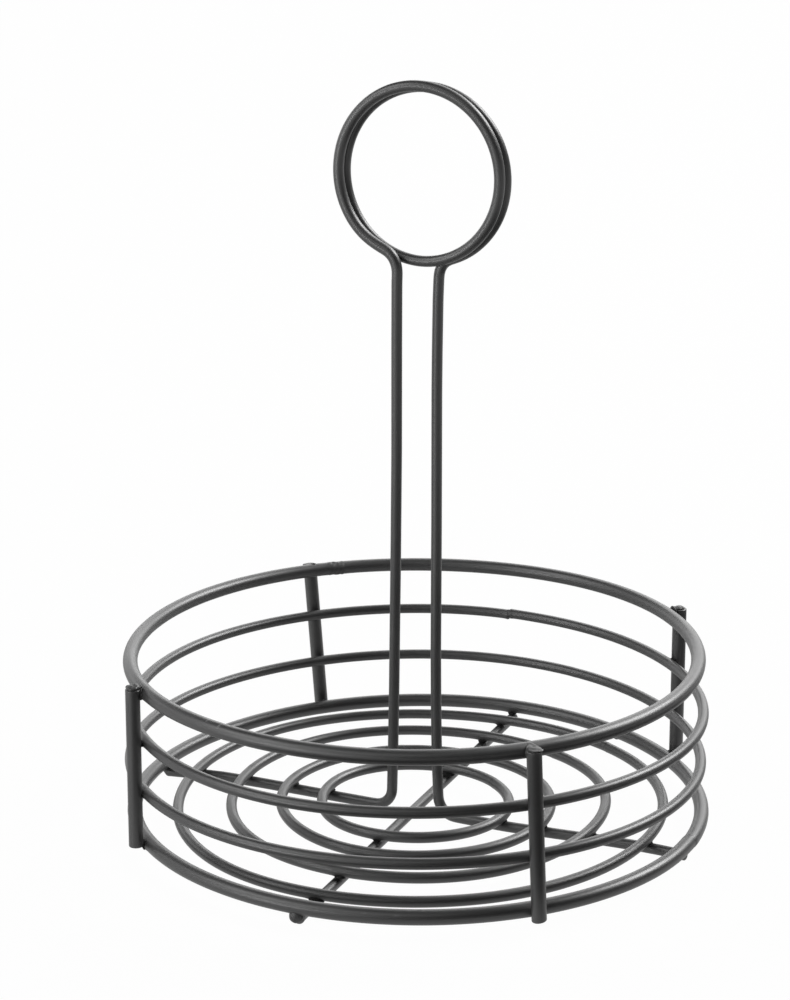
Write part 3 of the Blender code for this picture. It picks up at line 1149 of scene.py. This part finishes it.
@dataclass
class Floor:
    """The floor: four rings, the cross wire under them, and the welds between.

    collars gives a weld's collar that isn't the usual one: its size beside that
    one and its shift in millimetres.  foot_bow gives how far back a foot lies at
    a place along X, both in millimetres.  The drop is weld round the cross wire's
    front end: its shift along X, and the place along Y and height of its two ends.
    """

    wire: float = 1.7 * MM
    weld_gap: float = 0.3 * MM
    cross_x: float = -1.1 * MM
    front_y: float = -93.0 * MM
    back_y: float = 93.6 * MM
    cross_tips: tuple[WireTip, WireTip] = (
        WireTip(1.6 * MM, 0.16, order=2.2),
        WireTip(slant=-0.1, slant_facing=2.0),
    )
    ring_names: tuple[str, ...] = ("floor_ring_1", "floor_ring_2", "floor_ring_3", "floor_ring_4")
    seam_angles: tuple[float, ...] = (52.0, 118.0, 64.0, 58.0)
    seam_misfit: tuple[float, ...] = mm(0.06, 0.06, 0.03, 1.0, 0.06, 0.4)
    first_seed: int = 10
    drop_node: str = "weld_base_ring_cross_front"
    drop_x: float = -0.45 * MM
    drop_front: tuple[float, ...] = mm(-1.5, 2.6)
    drop_back: tuple[float, ...] = mm(2.6, 2.7)
    drop_half: float = 2.3 * MM
    collars: dict[str, tuple[float, float, float, float]] = field(default_factory=lambda: {
        "weld_floor_ring_1_cross_back": (1.6, 0.0, 0.0, 0.0),
        "weld_floor_ring_3_cross_front": (1.3, 1.1, -0.3, 0.3),
        "weld_floor_ring_4_cross_front": (1.7, 1.6, -0.4, 0.6),
        "weld_base_ring_right_foot": (0.7, -1.5, 0.0, 0.0),
        "weld_base_ring_left_foot": (1.0, 0.5, 0.0, 0.0),
        "weld_floor_ring_4_left_foot": (0.9, -0.5, 0.0, 0.0),
        "weld_floor_ring_3_left_foot": (0.85, -0.2, -0.4, 0.0),
    })
    waves: tuple[tuple[float, ...], ...] = (
        (-0.68, -0.32, 0.41, -0.31, 0.13, 0.12),
        (-0.41, -0.41, 0.06, -0.54, -0.07, 0.19),
        (-0.35, 0.82, -0.44, 0.15, -0.08, 0.49),
        (0.42, 0.20, -0.57, 0.21, 0.08, 0.65),
    )
    lifts: tuple[tuple[float, ...], ...] = (
        (-0.09, -0.05, 0.27, 0.00, 0.00, -0.03, 0.03),
        (-0.09, -0.04, 0.16, 0.01, 0.00, 0.03, 0.08),
        (-0.08, -0.04, 0.39, 0.00, 0.00, 0.07, 0.31),
        (-0.09, -0.01, 0.06, 0.00, 0.00, -0.06, 0.26),
    )
    foot_bow: tuple[tuple[float, float], ...] = (
        (-94.6, -1.2), (-90.0, -0.5), (-82.0, 0.8), (-72.0, 2.0), (-58.0, 1.9),
        (-42.0, 1.3), (-28.0, 0.7), (-14.0, 0.2), (-8.0, 0.0),
        (7.0, 0.0), (16.0, -0.8), (32.0, -1.5), (48.0, -0.8), (66.0, 0.0),
        (76.0, 0.0), (84.0, -0.5), (93.5, -1.5),
    )
    rings: dict[str, Ring] = field(init=False)

    def __post_init__(self) -> None:
        """Make the four rings."""
        self.rings = {
            name: Ring(
                name,
                self.first_seed + place,
                (Seam(angle, *self.seam_misfit),),
                self.waves[place],
                self.lifts[place],
            )
            for place, (name, angle) in enumerate(zip(self.ring_names, self.seam_angles))
        }

    def foot_depth(self, x: np.ndarray) -> np.ndarray:
        """How far back the bowed feet lie at their places along X."""
        knots = MM * np.array(self.foot_bow)
        return np.interp(x, knots[:, 0], knots[:, 1])

    def crossing(self, ring: Ring, support: Support) -> tuple[np.ndarray, np.ndarray]:
        """Find the spot where a ring crosses a support.

        Args:
            ring: The ring, whose reach sets how far out the spot lies.
            support: The wire under the ring.

        Returns:
            The spot in the gap between the two, and the support's outward direction.
        """
        way = heading(support.turn)
        height = 2.0 * self.wire + self.weld_gap / 2.0
        spot = ring.reach(np.array((support.turn,)))[0] * way + height * UP
        if support in (Support.LEFT_FOOT, Support.RIGHT_FOOT):
            spot[1] = self.foot_depth(spot[0])
        else:
            spot[0] = self.cross_x
        return spot, way

    def contacts(self, ring: Ring) -> list[tuple[float, np.ndarray, float]]:
        """Ring angle, place and section angle of a ring's welds to the supports."""
        spots = [self.crossing(ring, support)[0] for support in Support]
        return [(math.atan2(spot[1], spot[0]), spot, -math.pi / 2.0) for spot in spots]

    def spots(self, basket: Basket, supports: tuple[Support, ...]) -> np.ndarray:
        """Weld places along some of the supports, as rows of xyz."""
        rings = (basket.rings["base_ring"], *self.rings.values())
        return np.array([self.crossing(ring, support)[0] for ring in rings for support in supports])

    def build(self, basket: Basket, coats: Coats) -> None:
        """Build and dress the floor rings, the cross wire and the welds under the rings.

        Args:
            basket: The basket, whose base ring rests on the same supports.
            coats: Coats of the wires and the welds.
        """
        for name, ring in self.rings.items():
            found = self.contacts(ring)
            contacts = [(angle, facing) for angle, _, facing in found]
            spots = np.array([spot for _, spot, _ in found])
            add_piece("wire_" + name, [ring.skin(contacts, spots)], coats.wire, name)
        line = np.array([(self.cross_x, y, self.wire) for y in (self.front_y, self.back_y)])
        spots = self.spots(basket, (Support.CROSS_FRONT, Support.CROSS_BACK))
        skin = Wire(line, self.wire, UP, self.cross_tips, sides=24).skin(spots)
        add_piece("wire_cross_wire", [skin], coats.wire, "cross_wire")
        for name, ring in (("base_ring", basket.rings["base_ring"]), *self.rings.items()):
            for support in Support:
                spot, way = self.crossing(ring, support)
                node = f"weld_{name}_{support.value}"
                scale, *shift = self.collars.get(node, (1.0, 0.0, 0.0, 0.0))
                spot = spot + MM * np.array(shift)
                skins = collar(spot, np.cross(UP, way), way, self.wire, seed_of(node), scale)
                coat = coats.joint
                if node == self.drop_node:
                    skins.append(self.end_drop(seed_of(node)))
                    coat = coats.weld
                add_piece("bead_" + node, skins, coat, node)

    def end_drop(self, seed: int) -> Skin:
        """Smooth drop of weld round the cross wire's front end, a round lump along a short line.

        Args:
            seed: Seed of the drop's uneven skin.

        Returns:
            The drop's surface.
        """
        knots = 5
        rough, size = mm(0.08, 2.4)
        x = self.cross_x + self.drop_x
        ends = [(x, self.front_y + y, z) for y, z in (self.drop_front, self.drop_back)]
        line = np.linspace(*np.array(ends), knots)
        half = np.full(knots, self.drop_half)
        across = np.array((1.0, 0.0, 0.0))
        # The drop is painted somewhat dark as painted shade.
        return Lump(line, across, half, half, seed, rough, size, shade=0.25).skin()


@dataclass
class Handle:
    """The handle: one wire with two feet, two legs and a loop of nearly two turns.

    The loop is a helix of radius loop_height / 2 towards the back, whose centre
    drifts a little and whose sideways places are drawn in to loop_width.  Each
    leg bends out into it on an arc that touches its circle, the left one tucked in
    a little there.  Each sway gives heights and how far the leg is to the side of
    its straight line there, both in millimetres.
    """

    wire: float = 1.75 * MM
    turn_gap: float = 0.5 * MM
    loop_x: float = 1.0 * MM
    loop_z: float = 215.6 * MM
    loop_width: float = 52.9 * MM
    loop_height: float = 54.9 * MM
    drift_x: float = 1.1 * MM
    drift_z: float = -1.4 * MM
    left_top_x: float = -5.1 * MM
    left_foot_x: float = -8.6 * MM
    right_top_x: float = 5.6 * MM
    right_foot_x: float = 6.8 * MM
    left_bend: float = 7.5 * MM
    left_tuck: float = 0.6 * MM
    right_bend: float = 6.3 * MM
    foot_bend: float = 6.0 * MM
    left_foot_reach: float = 92.9 * MM
    right_foot_reach: float = 92.7 * MM
    foot_tips: tuple[WireTip, WireTip] = (
        WireTip(slant=-0.65, slant_facing=1.3),
        WireTip(slant=0.12, slant_facing=2.5),
    )
    left_sway: tuple[tuple[float, float], ...] = (
        (1.7, -0.5), (7.3, -0.40), (11.5, -0.33), (24.0, -0.15), (45.0, 0.04), (68.0, 0.11),
        (87.0, 0.20), (125.0, 0.20), (141.0, 0.07), (162.0, -0.10), (181.0, -0.20), (189.0, 0.0),
    )
    right_sway: tuple[tuple[float, float], ...] = (
        (1.7, 0.9), (5.2, 0.85), (11.5, 0.60), (20.0, 0.25), (28.0, 0.04), (41.0, -0.18),
        (58.0, -0.32), (100.0, -0.24), (146.0, -0.30), (158.0, -0.22), (175.0, 0.0), (183.0, 0.30),
        (189.0, 0.0),
    )
    tuck_reach: float = 8.0 * MM
    tuck_steps: int = 200
    arc_steps: int = 60
    loop_steps: int = 700
    pace: float = 0.25 * MM
    soften: float = 1.0 * MM

    def widen(self, x: float) -> float:
        """Sideways place as it would be if the loop were as wide as it is tall."""
        return self.loop_x + (x - self.loop_x) * self.loop_height / self.loop_width

    def narrow(self, points: np.ndarray) -> np.ndarray:
        """Draw the round loop in sideways to its real width.

        Args:
            points: Rows of xyz on the round loop.

        Returns:
            The rows with X brought nearer to the loop's middle.
        """
        points = points.copy()
        points[:, 0] = self.loop_x + (points[:, 0] - self.loop_x) * self.loop_width / self.loop_height
        return points

    def arc(
        self, centre: tuple[float, float], radius: float, start: float, end: float, y: float
    ) -> np.ndarray:
        """Points of an arc at a depth y.

        Args:
            centre: Its centre's places along X and Z.
            radius: Its radius.
            start: Angle at which it begins.
            end: Angle at which it ends.
            y: Its place along Y.

        Returns:
            Rows of xyz, at centre + radius * (cos, sin) of evenly spaced angles.
        """
        angles = np.linspace(start, end, self.arc_steps)
        x = centre[0] + radius * np.cos(angles)
        z = centre[1] + radius * np.sin(angles)
        return np.stack((x, np.full_like(x, y), z), -1)

    def foot(self, leg_x: float, end_x: float, floor: Floor) -> np.ndarray:
        """Points of a bowed foot, from its end in to the leg.

        Args:
            leg_x: Place of the leg along X.
            end_x: Place of the foot's end along X.
            floor: The floor, which knows how the feet are bowed.

        Returns:
            Rows of xyz: the foot's length, then a quarter turn up into the leg.
        """
        side = math.copysign(1.0, end_x)
        centre = (leg_x + side * self.foot_bend, self.wire + self.foot_bend)
        quarter = math.pi / 2.0
        bend = self.arc(centre, self.foot_bend, -quarter, -quarter - side * quarter, 0.0)
        straight = np.linspace((end_x, 0.0, self.wire), bend[0], self.arc_steps)[:-1]
        points = np.concatenate((straight, bend))
        points[:, 1] = floor.foot_depth(points[:, 0])
        return points

    def tucked(self, points: np.ndarray, spot: np.ndarray, centre: np.ndarray) -> np.ndarray:
        """Points moved towards a centre by a bell curve of their distance from a spot."""
        tuck = self.left_tuck * bell(np.linalg.norm(points - spot, axis=1), self.tuck_reach)
        return points + tuck[:, None] * unit(centre - points)

    def line(self, floor: Floor) -> np.ndarray:
        """Points of the whole wire, evenly spaced and softened where its bends begin.

        Args:
            floor: The floor, which knows how the feet are bowed.

        Returns:
            Rows of xyz from the end of the left foot to the end of the right one.
        """
        radius = self.loop_height / 2.0
        end_x, end_z = self.loop_x + self.drift_x, self.loop_z + self.drift_z
        left_x = self.widen(self.left_top_x) - self.left_bend
        left_z = self.loop_z - math.sqrt((radius + self.left_bend) ** 2 - (self.loop_x - left_x) ** 2)
        left_turn = math.atan2(self.loop_z - left_z, self.loop_x - left_x)
        right_x = self.widen(self.right_top_x) + self.right_bend
        right_z = end_z - math.sqrt((radius + self.right_bend) ** 2 - (right_x - end_x) ** 2)
        right_turn = math.atan2(right_z - end_z, right_x - end_x)
        start = left_turn + math.pi
        sweep = start - right_turn + TURN
        depth = (2.0 * self.wire + self.turn_gap) * sweep / TURN

        left_neck = self.arc((left_x, left_z), self.left_bend, 0.0, left_turn, -depth / 2.0)
        right_neck = self.arc(
            (right_x, right_z), self.right_bend, right_turn + math.pi, math.pi, depth / 2.0
        )
        share = np.linspace(0.0, 1.0, self.loop_steps)
        angle = start - share * sweep
        loop = np.stack((
            self.loop_x + share * self.drift_x + radius * np.cos(angle),
            (share - 0.5) * depth,
            self.loop_z + share * self.drift_z + radius * np.sin(angle),
        ), -1)
        top = np.concatenate((left_neck[:-1], loop, right_neck[1:]))
        tucks = len(left_neck) + self.tuck_steps
        centre = np.array((self.loop_x, -depth / 2.0, self.loop_z))
        top[:tucks] = self.tucked(top[:tucks], loop[0], centre)
        top = self.narrow(top)
        left_foot = self.foot(self.left_foot_x, -self.left_foot_reach, floor)
        right_foot = self.foot(self.right_foot_x, self.right_foot_reach, floor)
        return self.softened(np.concatenate((left_foot, top, right_foot[::-1])))

    def softened(self, points: np.ndarray) -> np.ndarray:
        """Space a line's points evenly, sway its legs and soften its bends.

        Args:
            points: Rows of xyz.

        Returns:
            Evenly spaced rows, each the bell-weighted mean of its neighbours.
        """
        lengths = walked(points)
        rows = np.arange(0.0, lengths[-1], self.pace)
        even = placed(rows, lengths, points)
        left = np.interp(even[:, 2], *(MM * np.transpose(self.left_sway)))
        right = np.interp(even[:, 2], *(MM * np.transpose(self.right_sway)))
        even[:, 0] += np.where(rows < lengths[-1] / 2.0, left, right)
        count = int(3.0 * self.soften / self.pace)
        weight = bell(np.arange(-count, count + 1) * self.pace, self.soften)
        weight /= weight.sum()
        inner = np.stack([np.convolve(even[:, axis], weight, "valid") for axis in range(3)], -1)
        return np.concatenate((even[:count], inner, even[-count:]))

    def build(self, basket: Basket, floor: Floor, wire: bpy.types.Material) -> None:
        """Build and dress the handle.

        Args:
            basket: The basket, whose base ring is welded to the feet.
            floor: The floor, whose rings are welded to the feet.
            wire: Coat of the wire.
        """
        spots = floor.spots(basket, (Support.LEFT_FOOT, Support.RIGHT_FOOT))
        facing = np.array((0.0, 1.0, 0.0))
        bent = Wire(self.line(floor), self.wire, facing, self.foot_tips, step=1.0 * MM, sides=24)
        add_piece("wire_handle", [bent.skin(spots)], wire, "handle_wire")


@dataclass(frozen=True)
class Softbox:
    """A square lamp: where it hangs, its size and its power."""

    name: str
    place: tuple[float, float, float]
    width: float
    height: float
    power: float


@dataclass
class Studio:
    """Pale floor, soft lamps, dim room and the camera of the photograph."""

    floor_reach: float = 9.0
    floor_grey: float = 0.36
    white_share: float = 0.98
    shade_sheet_grey: float = 0.05
    shade_sheet_corners: tuple[tuple[float, float], ...] = (
        (-0.065, -0.115), (-0.035, -0.27), (0.30, -0.27), (0.30, 0.25), (0.135, 0.25),
        (0.135, -0.02), (0.108, -0.06), (0.078, -0.092), (0.03, -0.11),
    )
    shade_sheet_height: float = 0.5 * MM
    room: float = 0.02
    camera_place: tuple[float, float, float] = (0.3461, -0.8389, 0.3825)
    camera_aim: tuple[float, float, float] = (-0.00655, -0.00276, 0.10917)
    camera_roll: float = -0.130
    lens: float = 106.29
    sensor: float = 36.0
    lamp_aim: tuple[float, float, float] = (0.0, 0.0, 0.1)
    lamps: tuple[Softbox, ...] = (
        Softbox("lamp_back", (1.025, 1.139, 1.386), 1.0, 0.8, 56.3),
        Softbox("lamp_back_high", (-0.110, 1.572, 1.331), 1.8, 1.2, 15.6),
        Softbox("lamp_backdrop", (-0.486, 2.287, 0.640), 3.0, 0.9, 25.4),
        Softbox("lamp_left_back", (-2.159, 0.872, 0.681), 2.0, 1.2, 13.6),
        Softbox("lamp_left_high", (-1.207, -0.943, 1.386), 1.3, 1.0, 19.7),
        Softbox("lamp_left_low", (-0.999, -1.731, 0.170), 0.8, 0.5, 14.3),
        Softbox("lamp_left", (-1.780, -1.246, 0.444), 1.9, 1.0, 9.6),
        Softbox("lamp_front", (-0.204, -1.946, 0.516), 1.0, 1.0, 4.6),
        Softbox("lamp_front_high", (0.047, -1.337, 1.586), 1.3, 1.0, 5.7),
    )

    def build(self) -> None:
        """Set up the floor, the world, the lamps and the camera."""
        bpy.context.scene.view_settings.view_transform = "Standard"
        self.build_floor()
        # A dark sheet on the floor, seen only in reflections: painted shade.
        self.build_shade_sheet()
        self.build_world()
        for lamp in self.lamps:
            self.build_lamp(lamp)
        self.build_camera()

    @staticmethod
    def lay(
        name: str, corners: list[tuple[float, float, float]], material: bpy.types.Material
    ) -> bpy.types.Object:
        """Lay a flat sheet in the studio.

        Args:
            name: Name of the sheet.
            corners: Its corners in order.
            material: Its material.

        Returns:
            The new object, which isn't part of the rack.
        """
        mesh = bpy.data.meshes.new(name)
        mesh.from_pydata(corners, [], [tuple(range(len(corners)))])
        mesh.materials.append(material)
        sheet = bpy.data.objects.new(name, mesh)
        bpy.context.scene.collection.objects.link(sheet)
        return sheet

    def build_floor(self) -> None:
        """Lay a pale floor that keeps a faint shadow and looks white to the camera."""
        made, bench = new_material("pale_floor")
        matte = bench.node("ShaderNodeBsdfDiffuse", {}, {"Color": opaque(self.floor_grey)}, "BSDF")
        white = bench.node("ShaderNodeEmission", {}, {"Strength": 1.0}, "Emission")
        mix = bench.node("ShaderNodeMixShader", {}, {0: self.seen(bench), 1: matte, 2: white}, 0)
        bench.node("ShaderNodeOutputMaterial", {}, {"Surface": mix})
        reach = self.floor_reach
        corners = [(x * reach, y * reach, 0.0) for x, y in ((-1, -1), (1, -1), (1, 1), (-1, 1))]
        floor = self.lay("studio_floor", corners, made)

    def seen(self, bench: Bench) -> Reading:
        """Share of white in the floor, by the kind of ray that meets it.

        Args:
            bench: Bench of the floor's material.

        Returns:
            The share for a straight ray, a mirrored one or one through glass, and 0 for others.
        """
        kinds = ("Is Camera Ray", "Is Glossy Ray", "Is Transmission Ray")
        straight, mirrored, through = (bench.node("ShaderNodeLightPath", {}, {}, kind) for kind in kinds)
        return (straight + mirrored + through) * self.white_share

    def build_shade_sheet(self) -> None:
        """Lay a dark sheet on the floor at the front and right of the rack, as painted shade of the floor.

        The wires mirror it, so that their right sides stay dark: a painted reflection of shade.  The
        camera can't see it.
        """
        made, bench = new_material("floor_shade_sheet")
        matte = bench.node("ShaderNodeBsdfDiffuse", {}, {"Color": opaque(self.shade_sheet_grey)}, "BSDF")
        bench.node("ShaderNodeOutputMaterial", {}, {"Surface": matte})
        corners = [(x, y, self.shade_sheet_height) for x, y in self.shade_sheet_corners]
        shade_sheet = self.lay("studio_shade_sheet", corners, made)
        shade_sheet.visible_camera = False
        shade_sheet.visible_shadow = False

    def build_world(self) -> None:
        """Fill the room with a dim even light."""
        world = bpy.data.worlds.new("studio_room")
        bpy.context.scene.world = world
        world.use_nodes = True
        bench = Bench(world.node_tree)
        light = bench.node("ShaderNodeBackground", {}, {"Strength": self.room}, "Background")
        bench.node("ShaderNodeOutputWorld", {}, {"Surface": light})

    def build_lamp(self, lamp: Softbox) -> None:
        """Hang one softbox and aim it at the rack.

        Args:
            lamp: The softbox.
        """
        light = bpy.data.lights.new(lamp.name, "AREA")
        light.shape = "RECTANGLE"
        light.size = lamp.width
        light.size_y = lamp.height
        light.energy = lamp.power
        hung = bpy.data.objects.new(lamp.name, light)
        hung.location = lamp.place
        hung.visible_camera = False
        way = Vector(self.lamp_aim) - Vector(lamp.place)
        hung.rotation_euler = way.to_track_quat("-Z", "Y").to_euler()
        bpy.context.scene.collection.objects.link(hung)

    def build_camera(self) -> None:
        """Stand the camera where the photograph was taken."""
        data = bpy.data.cameras.new("photo_camera")
        data.sensor_fit = "AUTO"
        data.sensor_width = self.sensor
        data.lens = self.lens
        data.clip_start = 0.01
        data.clip_end = 100.0
        camera = bpy.data.objects.new("photo_camera", data)
        place = Vector(self.camera_place)
        ahead = (Vector(self.camera_aim) - place).normalized()
        right = ahead.cross(Vector(UP)).normalized()
        over = right.cross(ahead)
        roll = math.radians(self.camera_roll)
        side = math.cos(roll) * right + math.sin(roll) * over
        top = math.cos(roll) * over - math.sin(roll) * right
        camera.matrix_world = Matrix((
            (side.x, top.x, -ahead.x, place.x),
            (side.y, top.y, -ahead.y, place.y),
            (side.z, top.z, -ahead.z, place.z),
            (0.0, 0.0, 0.0, 1.0),
        ))
        bpy.context.scene.collection.objects.link(camera)
        bpy.context.scene.camera = camera


def main() -> None:
    """Load the frame, note its number of nodes, build the rack's pieces in order and set up the studio."""
    logging.basicConfig(level=logging.INFO, format="%(name)s: %(message)s")
    for thing in list(bpy.data.objects):
        bpy.data.objects.remove(thing, do_unlink=True)
    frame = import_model()
    LOG.info("frame of %d nodes", len(frame["nodes"]))
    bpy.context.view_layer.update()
    coats = Coats(WIRE_COAT.material(), WELD_COAT.material(), SHADED_JOINT_COAT.material())
    basket = Basket()
    floor = Floor()
    basket.build(floor, coats)
    floor.build(basket, coats)
    Handle().build(basket, floor, coats.wire)
    Studio().build()


if __name__ == "__main__":
    main()
